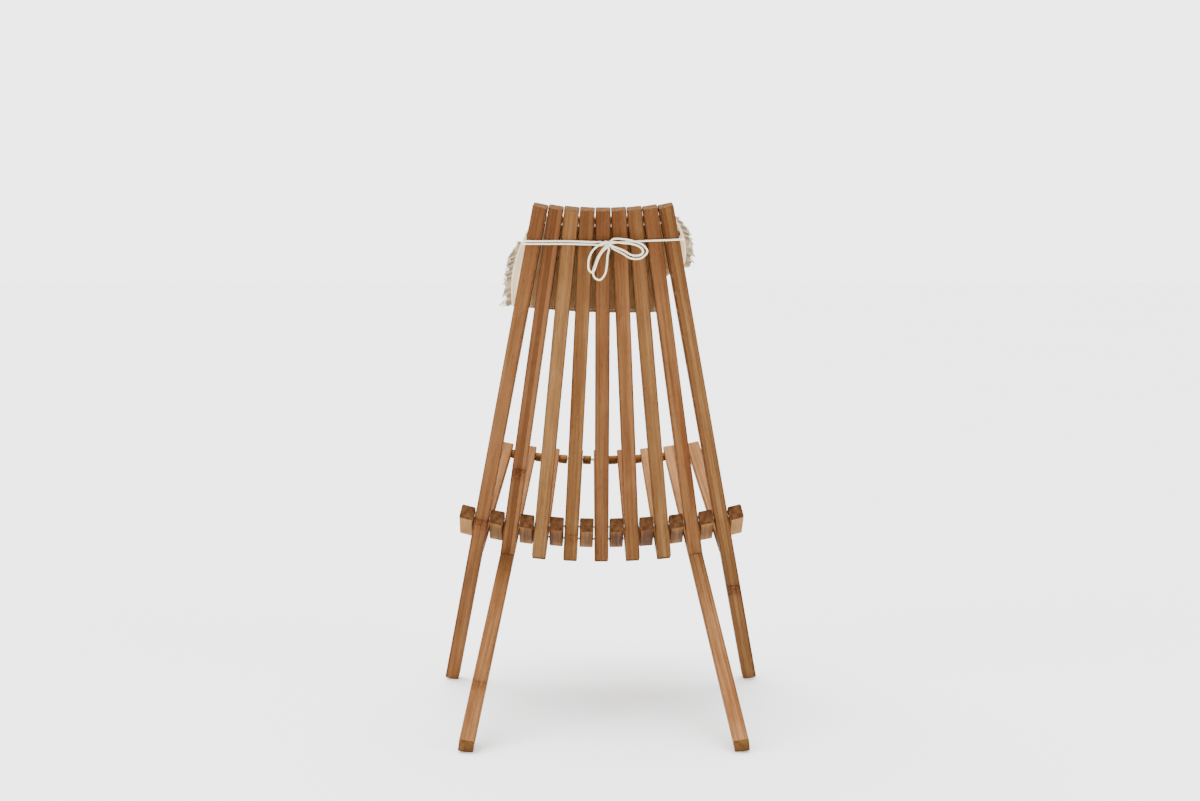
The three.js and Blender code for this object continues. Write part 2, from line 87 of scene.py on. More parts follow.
class Surface:
    """One procedural material, with short names for the nodes that it is built of"""

    def __init__(self, name, roughness, **settings):
        self.material = bpy.data.materials.new(name)
        self.material.use_nodes = True
        self.tree = self.material.node_tree
        self.shader = self.tree.nodes["Principled BSDF"]
        self.set("Roughness", roughness)
        for setting, value in settings.items():
            self.set(setting.replace("_", " "), value)

    def feed(self, socket, value):
        if isinstance(value, bpy.types.NodeSocket):
            self.tree.links.new(value, socket)
        elif value is not None:
            socket.default_value = value

    def set(self, name, value):
        self.feed(self.shader.inputs[name], value)

    def node(self, kind, inputs, output=0, **settings):
        node = self.tree.nodes.new("ShaderNode" + kind)
        for name, value in settings.items():
            setattr(node, name, value)
        for name, value in inputs.items():
            self.feed(node.inputs[name], value)
        return node.outputs[output]

    def math(self, operation, first, second=None):
        return self.node("Math", {0: first, 1: second}, operation=operation)

    def plus(self, first, *others):
        for other in others:
            first = self.math("ADD", first, other)
        return first

    def blended(self, pattern, shares):
        """The sum of the patterns, each in its share"""
        return self.plus(*[self.times(pattern[kind], share) for kind, share in shares.items()])

    def minus(self, first, second):
        return self.math("SUBTRACT", first, second)

    def times(self, first, *others):
        for other in others:
            first = self.math("MULTIPLY", first, other)
        return first

    def sine(self, angle):
        return self.math("SINE", angle)

    def attribute(self, name, output="Vector"):
        return self.node("Attribute", {}, output, attribute_name=name)

    def split(self, vector):
        node = self.tree.nodes.new("ShaderNodeSeparateXYZ")
        self.feed(node.inputs[0], vector)
        return node.outputs

    def join(self, x, y, z):
        return self.node("CombineXYZ", {0: x, 1: y, 2: z})

    def stretched(self, vector, cell):
        """The vector in cells of that size, in metres along each axis"""
        return self.node("VectorMath", {0: vector, 1: [1 / side for side in cell]}, operation="MULTIPLY")

    def noise(self, vector, cell, detail=2, roughness=0.5, distortion=0):
        return self.node("TexNoise", {"Vector": self.stretched(vector, cell), "Scale": 1, "Detail": detail,
                                      "Roughness": roughness, "Distortion": distortion})

    def ramp(self, value, low, high, out_low=0.0, out_high=1.0):
        inputs = {"Value": value, "From Min": low, "From Max": high, "To Min": out_low, "To Max": out_high}
        return self.node("MapRange", inputs, interpolation_type="SMOOTHSTEP")

    def hill(self, distance, width):
        """1 where the distance is nothing, falling to nothing beyond that width"""
        return self.ramp(self.math("ABSOLUTE", distance), 0.0, width, 1.0, 0.0)

    def mix(self, share, first, second, blend="MIX"):
        return self.node("Mix", {0: share, 6: first, 7: second}, 2, data_type="RGBA", blend_type=blend)

    def darken(self, colour, share, tint):
        """The colour multiplied by the tint, as far as the share says"""
        return self.mix(share, colour, linear(tint), "MULTIPLY")

    def mark(self, colour, share, strength, tint):
        """The colour under a mark of that share, strength and tint"""
        return self.darken(colour, self.times(share, strength), tint)

    def bump(self, height, distance, strength):
        inputs = {"Height": height, "Distance": distance, "Strength": strength}
        self.set("Normal", self.node("Bump", inputs))


# Bamboo: the grain runs along each stick, whose own coordinates are kept in its mesh

OILED = 0.36  # the oil on the wood deepens it
STICK_HALF = 12.3 * MM
UPPER_DARKER_TO = (0.02, 0.24, 1.0, 0.0)  # how far down from the upper end the wood is painted darker
UPPER_DARKER_TINT = (208, 190, 176)
ROUGHNESS_SHARES = {"fibres": 0.6, "patches": 0.4}
WOOD_ROUGHNESS = (0.3, 0.7, 0.5, 0.7)
WOOD_RELIEF = 0.25 * MM
WOOD_RELIEF_STRENGTH = 0.55
STREAK_HEIGHT = 1.4
LINE_DEPTH = 1.5
DOT_HEIGHT = 3.0

# Patterns: the cell along the grain and twice across it, and how fine and wavy it is
PATTERNS = {
    "streaks": {"cell": (0.28, 4.4 * MM, 4.4 * MM), "detail": 4, "roughness": 0.62, "distortion": 0.4},
    "fibres": {"cell": (0.06, 0.9 * MM, 0.9 * MM), "detail": 3, "roughness": 0.6},
    "patches": {"cell": (0.11, 0.03, 0.03), "detail": 2, "distortion": 0.6},
    "flecks": {"cell": (0.016, 0.55 * MM, 0.55 * MM), "detail": 1},
    "stains": {"cell": (0.35, 0.02, 0.02)},
    "waves": {"cell": (1, 9 * MM, 9 * MM), "detail": 1},
    "swirls": {"cell": (7 * MM, 4 * MM, 4 * MM), "detail": 3, "roughness": 0.6, "distortion": 1.2},
    "scuffs": {"cell": (0.012, 4 * MM, 4 * MM)},
}
BLEND_SHARES = {"streaks": 0.62, "fibres": 0.28, "patches": 0.3}
BLEND_RANGE = (0.38, 0.82)
FLECK_RANGE = (0.6, 0.72)
STAIN_RANGE = (0.55, 0.75)
SWIRL_RANGE = (0.38, 0.66)
SCUFF_RANGE = (0.58, 0.7)

# Marks on the wood, the edge mark being painted shade: how strongly each shows, and its tint
MARKS = {
    "joint": (0.6, (150, 106, 74)),
    "fleck": (0.45, (138, 104, 72)),
    "stain": (0.55, (205, 160, 122)),
    "swirl": (0.85, (150, 104, 70)),
    "zone": (0.3, (205, 160, 128)),
    "line": (0.55, (128, 84, 56)),
    "edge": (0.6, (178, 140, 112)),
}

# Strips glued side by side, each of its own tone, with a thin dark joint between them
STRIP_WIDTH = 8.4 * MM
STRIP_SHIFT = 0.3 * MM
STRIP_STEP = 3.37
STRIP_CONTRAST = 0.9
JOINT_HALF = 0.5 * MM

# A node of the bamboo: a thin dark line with a stained zone below it
NODE_WAVE = 7 * MM
NODE_LINE = 3 * MM
NODE_BELOW = 8 * MM
NODE_ZONE = 22 * MM

# Edges: painted shade along the rounding, with small lighter scuffs of wear
EDGE_RANGE = (9.2 * MM, 11.6 * MM)
SCUFF_SHARE = 0.5

# End grain: rings about an axis outside the stick, dark dots of the fibre bundles, and a painted highlight
# round its rim
RING_AXIS = 22 * MM
RING_SWING = 20 * MM
RING_SWING_TURN = 9.0
RING_RATE = 2600.0
RING_WAVER = 6.0
RING_WAVER_CELL = (6 * MM,) * 3
RING_SHARE = 0.2
DOT_CELL = (1.1 * MM,) * 3
DOT_RANGE = (0.16, 0.4, 0.55, 0.0)
DOT_TINT = (110, 76, 52)
MOTTLE = {"cell": (9 * MM,) * 3, "detail": 4, "roughness": 0.6}
MOTTLE_RANGE = (0.22, 0.8)
RIM_HIGHLIGHT_RANGE = (11.0 * MM, 12.0 * MM, 0.0, 0.5)
CUT_ROUGHER = 0.2


def bamboo(name, dark, light, cut_tones, upper_darker=0.0, gloss=0.04):
    wood = Surface(name, None, Specular_IOR_Level=gloss)
    dark, light, end_dark, end_light = (linear(colour, OILED) for colour in (dark, light, *cut_tones))
    seed, node_at, node_strength = wood.split(wood.attribute("stick"))
    own = wood.attribute("grain")
    along, across, deep = wood.split(own)
    shifted = wood.node("VectorMath", {0: own, 1: wood.join(seed, seed, seed)}, operation="ADD")
    pattern = {kind: wood.noise(shifted, **look) for kind, look in PATTERNS.items()}
    blend = wood.blended(pattern, BLEND_SHARES)

    layers = wood.attribute("layers", "Fac")
    strip_place = wood.math("DIVIDE", wood.plus(across, STICK_HALF + STRIP_SHIFT), STRIP_WIDTH)
    strip = wood.times(wood.math("FLOOR", strip_place), STRIP_STEP)
    strip_tone = wood.minus(wood.noise(wood.join(wood.plus(strip, seed), seed, 0.5), (1, 1, 1), 0), 0.5)
    strip_tone = wood.times(strip_tone, wood.times(layers, STRIP_CONTRAST))
    blend = wood.plus(blend, wood.attribute("tone", "Fac"), strip_tone)
    colour = wood.mix(wood.ramp(blend, *BLEND_RANGE), dark, light)
    to_joint = wood.times(wood.minus(strip_place, wood.math("ROUND", strip_place)), STRIP_WIDTH)
    joint = wood.times(wood.hill(to_joint, JOINT_HALF), layers)
    colour = wood.mark(colour, joint, *MARKS["joint"])
    # the wood is painted darker towards the stick's upper end
    colour = wood.mark(colour, wood.ramp(along, *UPPER_DARKER_TO), upper_darker, UPPER_DARKER_TINT)
    flecks = wood.ramp(pattern["flecks"], *FLECK_RANGE)
    colour = wood.mark(colour, flecks, *MARKS["fleck"])
    colour = wood.mark(colour, wood.ramp(pattern["stains"], *STAIN_RANGE), *MARKS["stain"])

    from_node = wood.minus(wood.plus(along, wood.times(pattern["waves"], NODE_WAVE)), node_at)
    line = wood.times(wood.hill(from_node, NODE_LINE), node_strength)
    zone = wood.times(wood.hill(wood.minus(from_node, NODE_BELOW), NODE_ZONE), node_strength)
    swirl = wood.times(zone, wood.ramp(pattern["swirls"], *SWIRL_RANGE))
    for kind, share in {"swirl": swirl, "zone": zone, "line": line}.items():
        colour = wood.mark(colour, share, *MARKS[kind])

    nearer = wood.math("MINIMUM", wood.math("ABSOLUTE", across), wood.math("ABSOLUTE", deep))
    edge = wood.ramp(nearer, *EDGE_RANGE)
    # painted shade along the rounded edges, where they turn away from the light
    colour = wood.mark(colour, edge, *MARKS["edge"])
    scuffs = wood.times(edge, wood.ramp(pattern["scuffs"], *SCUFF_RANGE), SCUFF_SHARE)
    colour = wood.mix(scuffs, colour, light)

    cut = wood.attribute("cut", "Fac")
    swing = wood.times(wood.sine(wood.times(seed, RING_SWING_TURN)), RING_SWING)
    section = wood.join(wood.plus(across, swing), wood.plus(deep, RING_AXIS), 0.0)
    reach = wood.node("VectorMath", {0: section}, "Value", operation="LENGTH")
    waver = wood.times(wood.noise(section, RING_WAVER_CELL), RING_WAVER)
    rings = wood.sine(wood.plus(wood.times(reach, RING_RATE), waver))
    dots = wood.node("TexVoronoi", {"Vector": wood.stretched(section, DOT_CELL), "Scale": 1}, "Distance")
    mottle = wood.ramp(wood.noise(section, **MOTTLE), *MOTTLE_RANGE)
    end_colour = wood.mix(wood.plus(wood.times(rings, RING_SHARE), mottle), end_dark, end_light)
    end_colour = wood.darken(end_colour, wood.ramp(dots, *DOT_RANGE), DOT_TINT)
    # painted highlight: the rim of each end face is lighter, as the rounded arris catches the light
    end_colour = wood.mix(wood.ramp(nearer, *RIM_HIGHLIGHT_RANGE), end_colour, light)
    wood.set("Base Color", wood.mix(cut, colour, end_colour))

    rough = wood.ramp(wood.blended(pattern, ROUGHNESS_SHARES), *WOOD_ROUGHNESS)
    wood.set("Roughness", wood.plus(rough, wood.times(cut, CUT_ROUGHER)))
    relief = wood.plus(pattern["fibres"], wood.times(pattern["streaks"], STREAK_HEIGHT))
    relief = wood.minus(wood.minus(relief, flecks), wood.times(line, LINE_DEPTH))
    relief = wood.plus(relief, wood.times(cut, dots, DOT_HEIGHT))
    wood.bump(relief, WOOD_RELIEF, WOOD_RELIEF_STRENGTH)
    return wood.material


STEEL_DULL = (148, 144, 136)
STEEL_BRIGHT = (196, 192, 184)
BLOOM = {"cell": (5 * MM,) * 3, "detail": 3, "roughness": 0.6}
BLOOM_RANGE = (0.5, 0.7)
BLOOM_SHARE = 0.6
BLOOM_TONE = (126, 98, 72)
STEEL_ROUGHNESS = (0.3, 0.55)
DRAWN_CELL = (3 * MM, 0.3 * MM, 0.3 * MM)
DRAWN_RELIEF = 0.05 * MM
DRAWN_RELIEF_STRENGTH = 0.3


def steel():
    """Drawn wire, dulled, with a brown bloom in places"""
    metal = Surface("wire_steel", None, Metallic=1)
    place = metal.node("TexCoord", {}, "Object")
    drawn = metal.noise(place, DRAWN_CELL)
    bloom = metal.ramp(metal.noise(place, **BLOOM), *BLOOM_RANGE)
    colour = metal.mix(drawn, linear(STEEL_DULL), linear(STEEL_BRIGHT))
    metal.set("Base Color", metal.mix(metal.times(bloom, BLOOM_SHARE), colour, linear(BLOOM_TONE)))
    metal.set("Roughness", metal.ramp(bloom, 0.0, 1.0, *STEEL_ROUGHNESS))
    metal.bump(drawn, DRAWN_RELIEF, DRAWN_RELIEF_STRENGTH)
    return metal.material


CLOTH = {"roughness": 0.92, "Sheen_Weight": 0.25, "Sheen_Roughness": 0.6, "Specular_IOR_Level": 0.2}
WEAVE_PITCH = 1.1 * MM
WANDER = 5.0
WARP_CELL = (20 * MM, 60 * MM, 20 * MM)
WEFT_CELL = (60 * MM, 20 * MM, 20 * MM)
SLUB_WIDTH = 0.8 * MM
CLOTH_PATCHES = {"cell": (50 * MM,) * 3, "detail": 3, "roughness": 0.55}
SLUB_SHARE = 0.7
PATCH_SHARE = 0.45
WEAVE_SHARE = 0.1
CLOTH_RANGE = (0.35, 0.85)
KNOT_CELL = (1.6 * MM,) * 3
KNOT_RANGE = (0.7, 0.78)
KNOT_MARK = (0.5, (196, 170, 130))
SHADE_FULL_AT = 0.02  # the third cloth coordinate at which the painted shade is full
SEAM_INSET = 7 * MM
SEAM_HOLLOW = 4.5 * MM
SEAM_SHADE = (0.7, (200, 178, 146))
STITCH_LENGTH = 4.4 * MM
STITCH_HALF = 1.1 * MM
STITCH_GAPS = (-0.6, 0.0)
STITCH_SHARE = 0.75
STITCH_TONE = (246, 238, 220)
SLUB_HEIGHT = 2.0
STITCH_HEIGHT = 3.0
SEAM_DEPTH = 7.0
CLOTH_RELIEF = 0.2 * MM
CLOTH_RELIEF_STRENGTH = 0.6


def linen(name, light, shade, slub_cell, shade_tint):
    """Plain weave of uneven threads, a line of stitches along the rim with painted shade in its hollow, and
    painted shade where the third cloth coordinate is deep
    """
    cloth = Surface(name, **CLOTH)
    place = cloth.attribute("cloth")
    across, up, depth = cloth.split(place)
    weave = 2 * math.pi / WEAVE_PITCH
    waves = []
    for way, cell in ((across, WARP_CELL), (up, WEFT_CELL)):
        wander = cloth.times(cloth.noise(place, cell), WANDER)
        waves.append(cloth.sine(cloth.plus(cloth.times(way, weave), wander)))
    threads = cloth.math("MAXIMUM", *waves)
    slub_across = cloth.noise(place, (slub_cell, SLUB_WIDTH, slub_cell), 2, 0.6)
    slub_up = cloth.noise(place, (SLUB_WIDTH, slub_cell, slub_cell), 2, 0.6)
    slubs = cloth.math("MAXIMUM", slub_across, slub_up)
    patches = cloth.noise(place, **CLOTH_PATCHES)
    share = cloth.plus(cloth.times(slubs, SLUB_SHARE), cloth.times(patches, PATCH_SHARE),
                       cloth.times(threads, WEAVE_SHARE))
    colour = cloth.mix(cloth.ramp(share, *CLOTH_RANGE), linear(shade), linear(light))
    knots = cloth.ramp(cloth.noise(place, KNOT_CELL, 1), *KNOT_RANGE)
    colour = cloth.mark(colour, knots, *KNOT_MARK)
    # painted shade where the third cloth coordinate is deep: the panel behind the slats, and the folds of the
    # frays
    colour = cloth.darken(colour, cloth.ramp(depth, 0.0, SHADE_FULL_AT), shade_tint)
    rim = cloth.split(cloth.attribute("rim"))
    off_seam = cloth.minus(rim[0], SEAM_INSET)
    gaps = cloth.ramp(cloth.sine(cloth.times(rim[1], 2 * math.pi / STITCH_LENGTH)), *STITCH_GAPS)
    stitch = cloth.times(cloth.hill(off_seam, STITCH_HALF), gaps)
    hollow = cloth.hill(off_seam, SEAM_HOLLOW)
    # painted shade in the hollow along the seam
    colour = cloth.mark(colour, hollow, *SEAM_SHADE)
    colour = cloth.mix(cloth.times(stitch, STITCH_SHARE), colour, linear(STITCH_TONE))
    cloth.set("Base Color", colour)
    height = cloth.plus(threads, cloth.times(slubs, SLUB_HEIGHT), cloth.times(stitch, STITCH_HEIGHT))
    height = cloth.minus(height, cloth.times(hollow, SEAM_DEPTH))
    cloth.bump(height, CLOTH_RELIEF, CLOTH_RELIEF_STRENGTH)
    return cloth.material


CORD_COTTON = {"roughness": 0.95, "Sheen_Weight": 0.3, "Sheen_Roughness": 0.5, "Specular_IOR_Level": 0.2}
COTTON_FIBRES = {"cell": (3 * MM, 0.04, 1), "detail": 3, "roughness": 0.6}  # along the cord, turns and depth
COTTON_RANGE = (0.3, 0.7)
GROOVE_SHADE_RANGE = (0.35, 1.0, 0.0, 0.75)
COTTON_RELIEF = 0.15 * MM
COTTON_RELIEF_STRENGTH = 0.5


def cotton(name, light, groove):
    """Laid cord: fibres along the strands, and painted shade in the grooves between them"""
    cord = Surface(name, **CORD_COTTON)
    run, turn, depth = cord.split(cord.attribute("lay"))
    fibres = cord.noise(cord.join(run, turn, 0.0), **COTTON_FIBRES)
    colour = cord.mix(cord.ramp(fibres, *COTTON_RANGE), linear(groove), linear(light))
    # painted shade in the grooves between the strands
    colour = cord.mix(cord.ramp(depth, *GROOVE_SHADE_RANGE), colour, linear(groove))
    cord.set("Base Color", colour)
    cord.bump(fibres, COTTON_RELIEF, COTTON_RELIEF_STRENGTH)
    return cord.material


FRESH_CUT = ((120, 78, 42), (172, 126, 80))
OLD_CUT = ((90, 54, 32), (156, 108, 70))
FOOT_CUT = ((118, 78, 42), (172, 124, 76))
# how strongly the back slats are painted darker towards their upper end
BACK_UPPER_DARKER = 0.75
DULL = 0.01
BAMBOO = {
    "bamboo_brown": bamboo("bamboo_brown", (136, 88, 50), (184, 128, 80), FRESH_CUT, BACK_UPPER_DARKER),
    "bamboo_red": bamboo("bamboo_red", (130, 82, 46), (172, 119, 75), FRESH_CUT, BACK_UPPER_DARKER),
    "bamboo_golden": bamboo("bamboo_golden", (148, 100, 58), (198, 148, 94), FRESH_CUT, BACK_UPPER_DARKER),
    "bamboo_seat": bamboo("bamboo_seat", (158, 104, 62), (214, 156, 102), FOOT_CUT, gloss=DULL),
    "bamboo_block": bamboo("bamboo_block", (124, 72, 34), (212, 154, 90), OLD_CUT, gloss=DULL),
    "spacer_wood": bamboo("spacer_wood", (150, 88, 44), (206, 142, 80), FRESH_CUT, gloss=DULL),
}
STEEL = steel()
LINEN = linen("linen", (228, 210, 174), (194, 172, 134), 30 * MM, (186, 148, 108))
FRAY = linen("linen_fray", (210, 194, 162), (164, 146, 116), 12 * MM, (150, 126, 98))
# dark linen for the painted shade inside the eyelets
HOLE_SHADE = linen("linen_hole", (70, 46, 28), (44, 28, 16), 10 * MM, (255, 255, 255))
COTTON = cotton("cotton_cord", (250, 244, 226), (190, 176, 146))
THREAD = cotton("linen_threads", (208, 194, 162), (154, 136, 106))


# Sticks: coordinates along the grain, and shading that keeps flat faces flat and rounded edges round

NORMAL_STEPS = 40
PLANE_STEP = 0.05 * MM
CORNER_STEP = 0.01 * MM
ROUNDING = 52  # the widest angle, in degrees, that the shading runs on over
TINY = 1e-12
SQUARE_TO = 0.5
END_FACING = 0.6


def read(items, field, width=1, kind=float):
    values = np.zeros(len(items) * width, kind)
    items.foreach_get(field, values)
    return values


def put(mesh, name, kind, domain, values):
    field = "vector" if kind == "FLOAT_VECTOR" else "value"
    mesh.attributes.new(name, kind, domain).data.foreach_set(field, np.asarray(values, np.float32).ravel())


def paint(piece, material):
    piece.data.materials.clear()
    piece.data.materials.append(material)


def triangles_of(mesh):
    """Points, the three points of each triangle, and each triangle's normal and area"""
    points = read(mesh.vertices, "co", 3).reshape(-1, 3)
    faces = read(mesh.loops, "vertex_index", kind=int).reshape(-1, 3)
    normals = read(mesh.polygons, "normal", 3).reshape(-1, 3)
    return points, faces, normals, read(mesh.polygons, "area")


def soften(mesh):
    """A corner's normal is the mean of the flat regions that meet there, each weighed by its whole area"""
    points, faces, normals, areas = triangles_of(mesh)
    offsets = (points[faces[:, 0]] * normals).sum(1)
    planes = np.round(np.column_stack([normals * NORMAL_STEPS, offsets / PLANE_STEP]))
    region = np.unique(planes, axis=0, return_inverse=True)[1].ravel()
    region_area = np.bincount(region, areas)
    region_normal = np.zeros((len(region_area), 3))
    np.add.at(region_normal, region, normals * areas[:, None])
    unit = region_normal / np.maximum(np.linalg.norm(region_normal, axis=1), TINY)[:, None]
    place = np.unique(np.round(points / CORNER_STEP), axis=0, return_inverse=True)[1].ravel()
    meeting = {}
    for face, corners in enumerate(faces):
        for corner in corners:
            meeting.setdefault(place[corner], set()).add(region[face])
    least = math.cos(math.radians(ROUNDING))
    shaded = np.zeros((len(faces) * 3, 3))
    for face, corners in enumerate(faces):
        for index, corner in enumerate(corners):
            near = [r for r in meeting[place[corner]] if unit[r] @ normals[face] > least]
            total = sum((unit[r] * region_area[r] for r in near), np.zeros(3)) + normals[face] * TINY
            shaded[face * 3 + index] = total / np.linalg.norm(total)
    mesh.polygons.foreach_set("use_smooth", [True] * len(mesh.polygons))
    mesh.normals_split_custom_set(shaded)


def grain_axes(normals, areas, is_round):
    """The stick's long axis, pointing down, and its two cross axes, from the ways its largest faces look"""
    ways = {}
    for normal, area in zip(normals, areas):
        lead = normal[np.argmax(np.abs(normal))]
        key = tuple(np.round(normal * np.sign(lead), 2))
        ways[key] = ways.get(key, 0) + area
    ranked = sorted(ways, key=ways.get, reverse=True)
    first = np.array(ranked[0]) / np.linalg.norm(ranked[0])
    second = next(np.array(way) for way in ranked if abs(np.array(way) @ first) < SQUARE_TO)
    cross = np.cross(first, second)
    cross /= np.linalg.norm(cross)
    along, sides = (first, (second, cross)) if is_round else (cross, (first, second))
    along = along * -np.sign(along[2] or 1)
    across = max(sides, key=lambda way: abs(way[0]))
    across = across / np.linalg.norm(across) * np.sign(across[0])
    return along, across, np.cross(along, across)


def dress_stick(name, material, seed, tone, layers, node_at, node_strength):
    mesh = frame["nodes"][name].data
    points, faces, normals, areas = triangles_of(mesh)
    along, across, deep = grain_axes(normals, areas, name.startswith("spacer"))
    own = points @ np.column_stack([along, across, deep])
    low, high = own.min(0), own.max(0)
    own -= [low[0], (low[1] + high[1]) / 2, (low[2] + high[2]) / 2]
    put(mesh, "grain", "FLOAT_VECTOR", "POINT", own)
    put(mesh, "stick", "FLOAT_VECTOR", "POINT", [(seed, node_at, node_strength)] * len(points))
    put(mesh, "tone", "FLOAT", "POINT", [tone] * len(points))
    put(mesh, "layers", "FLOAT", "POINT", [layers] * len(points))
    put(mesh, "cut", "FLOAT", "FACE", np.abs(normals @ along) > END_FACING)
    soften(mesh)
    paint(frame["nodes"][name], material)


SLOT_OF = {row["node"]: row["material_slot"] for row in frame["record"]["subparts"]}
# Single sticks as the photo shows them: a node's place and strength, the tone, and how plain the strips are
NODES_SEEN = {"back_slat_1": (0.62, 0.8), "back_slat_2": (0.505, 1.0), "back_slat_4": (0.63, 0.5),
              "back_slat_9": (0.765, 1.0), "seat_slat_2": (0.72, 0.6)}
# link_block_1 and link_block_10, the outermost blocks, are painted lighter: they stand for the light these
# blocks get where the inner blocks are shaded by their neighbours
TONES = {"back_slat_1": 0.02, "back_slat_2": 0.14, "back_slat_3": 0.02, "back_slat_4": -0.1,
         "back_slat_5": 0.0, "back_slat_6": 0.0, "back_slat_7": -0.06, "back_slat_8": 0.02,
         "back_slat_9": -0.14, "link_block_1": 0.4, "link_block_10": 0.4}
LAYERED = {"back_slat_2": 0.8, "back_slat_9": 1.0, "seat_slat_8": 0.7}
SEED_RANGE = (0.2, 3.0)
NODE_AT_RANGE = (0.1, 0.6)
NODE_STRENGTH_RANGE = (0.0, 0.3)
TONE_RANGE = (-0.1, 0.1)
LAYERS_ELSEWHERE = 0.2

for name in sorted(frame["nodes"]):
    if SLOT_OF[name] in BAMBOO:
        seed = rng.uniform(*SEED_RANGE)
        drawn_node = (rng.uniform(*NODE_AT_RANGE), rng.uniform(*NODE_STRENGTH_RANGE))
        node_at, strength = NODES_SEEN.get(name, drawn_node)
        tone = TONES.get(name, rng.uniform(*TONE_RANGE))
        layers = LAYERED.get(name, LAYERS_ELSEWHERE)
        dress_stick(name, BAMBOO[SLOT_OF[name]], seed, tone, layers, node_at, strength)
    elif SLOT_OF[name] == "wire_steel":
        soften(frame["nodes"][name].data)
        paint(frame["nodes"][name], STEEL)


# Cord

CURVE_STEPS = 40
SHORTEST_SPAN = 1e-9
OFF_EVERY_LINE = (0.31, 0.22, 0.93)
GROOVE_POWER = 0.6
RING_STEP = 0.75 * MM
CORD_RADIUS = 1.6 * MM
CORD_LAY = {"strands": 3, "lay_length": 9.5 * MM, "sides": 18, "groove_share": 0.2}


def evenly(line, step):
    """The line with its points at even steps"""
    run = np.concatenate([[0], np.cumsum(np.linalg.norm(np.diff(line, axis=0), axis=1))])
    even = np.linspace(0, run[-1], max(3, round(run[-1] / step)))
    return np.column_stack([np.interp(even, run, line[:, axis]) for axis in range(3)])


def smooth_path(points, step):
    """Points at even steps on the centripetal curve through the given ones"""
    points = np.array(points, float)
    ends = [2 * points[0] - points[1], *points, 2 * points[-1] - points[-2]]
    share = np.linspace(0, 1, CURVE_STEPS, endpoint=False)[:, None]
    dense = []
    for before, start, end, after in zip(ends, ends[1:], ends[2:], ends[3:]):
        pairs = ((before, start), (start, end), (end, after))
        one, two, three = (max(np.linalg.norm(b - a), SHORTEST_SPAN) ** 0.5 for a, b in pairs)
        leave = ((start - before) / one - (end - before) / (one + two) + (end - start) / two) * two
        enter = ((end - start) / two - (after - start) / (two + three) + (after - end) / three) * two
        dense.append((2 * share**3 - 3 * share**2 + 1) * start + (share**3 - 2 * share**2 + share) * leave
                     + (3 * share**2 - 2 * share**3) * end + (share**3 - share**2) * enter)
    return evenly(np.vstack([*dense, points[-1:]]), step)


def frames_along(line, closed=False):
    """A pair of cross directions at each point of the line, carried along it without twist"""
    ahead = np.roll(line, -1, 0) - np.roll(line, 1, 0) if closed else np.gradient(line, axis=0)
    ahead /= np.linalg.norm(ahead, axis=1)[:, None]
    start = np.cross(ahead[0], OFF_EVERY_LINE)
    first = [start / np.linalg.norm(start)]
    for way in ahead[1:]:
        carried = first[-1] - way * (first[-1] @ way)
        first.append(carried / np.linalg.norm(carried))
    first = np.array(first)
    return first, np.cross(ahead, first)


def make_piece(name, points, faces, material, attributes=()):
    mesh = bpy.data.meshes.new(name)
    mesh.from_pydata([tuple(point) for point in points], [], [tuple(face) for face in faces])
    mesh.update()
    mesh.polygons.foreach_set("use_smooth", [True] * len(mesh.polygons))
    for attribute, values in attributes:
        put(mesh, attribute, "FLOAT_VECTOR", "POINT", values)
    mesh.materials.append(material)
    piece = bpy.data.objects.new(name, mesh)
    bpy.context.scene.collection.objects.link(piece)
    return piece


def make_tubes(name, lines, material, radius, strands, lay_length, sides, groove_share, closed=False):
    """One piece of cords, one along each line, whose strands turn about it"""
    points, faces, lay = [], [], []
    angles = np.arange(sides) * 2 * math.pi / sides
    for line in lines:
        rings = len(line)
        first, second = (way[:, None, :] for way in frames_along(line, closed))
        run = np.arange(rings)[:, None] * np.linalg.norm(line[1] - line[0])
        turn = angles[None, :] - 2 * math.pi * run / lay_length
        groove = 1 - np.abs(np.cos(strands * turn / 2)) ** GROOVE_POWER
        reach = radius * (1 - groove_share * groove)
        ring = first * np.cos(angles)[None, :, None] + second * np.sin(angles)[None, :, None]
        offset = sum(len(block) for block in points)
        points.append((line[:, None, :] + ring * reach[:, :, None]).reshape(-1, 3))
        lays = np.stack([np.broadcast_to(run, turn.shape), turn / (2 * math.pi), groove], -1)
        lay.append(lays.reshape(-1, 3))
        for row in range(rings if closed else rings - 1):
            this, following = offset + row * sides, offset + (row + 1) % rings * sides
            for side in range(sides):
                beside = (side + 1) % sides
                faces.append([this + side, this + beside, following + beside, following + side])
        if not closed:
            faces.append([offset + side for side in range(sides - 1, -1, -1)])
            faces.append([offset + (rings - 1) * sides + side for side in range(sides)])
    return make_piece(name, np.vstack(points), faces, material, [("lay", np.vstack(lay))])


KNOT_AT = np.array([-0.008, 0.216875, 0.804])
KNOT_HALF = np.array([8.5, 5.5, 6]) * MM
KNOT_GAPS = (-3.2 * MM, 0.6 * MM, 4.16 * MM)
KNOT_STEPS = 240
KNOT_FLATTER = 0.95
KNOT_THICKER = 1.06


def at_knot(direction):
    """Points with which a cord goes into the knot, the innermost first"""
    out = np.array(direction) / np.linalg.norm(direction)
    surface = 1 / np.linalg.norm(out / KNOT_HALF)
    return [KNOT_AT + out * (surface + gap) for gap in KNOT_GAPS]


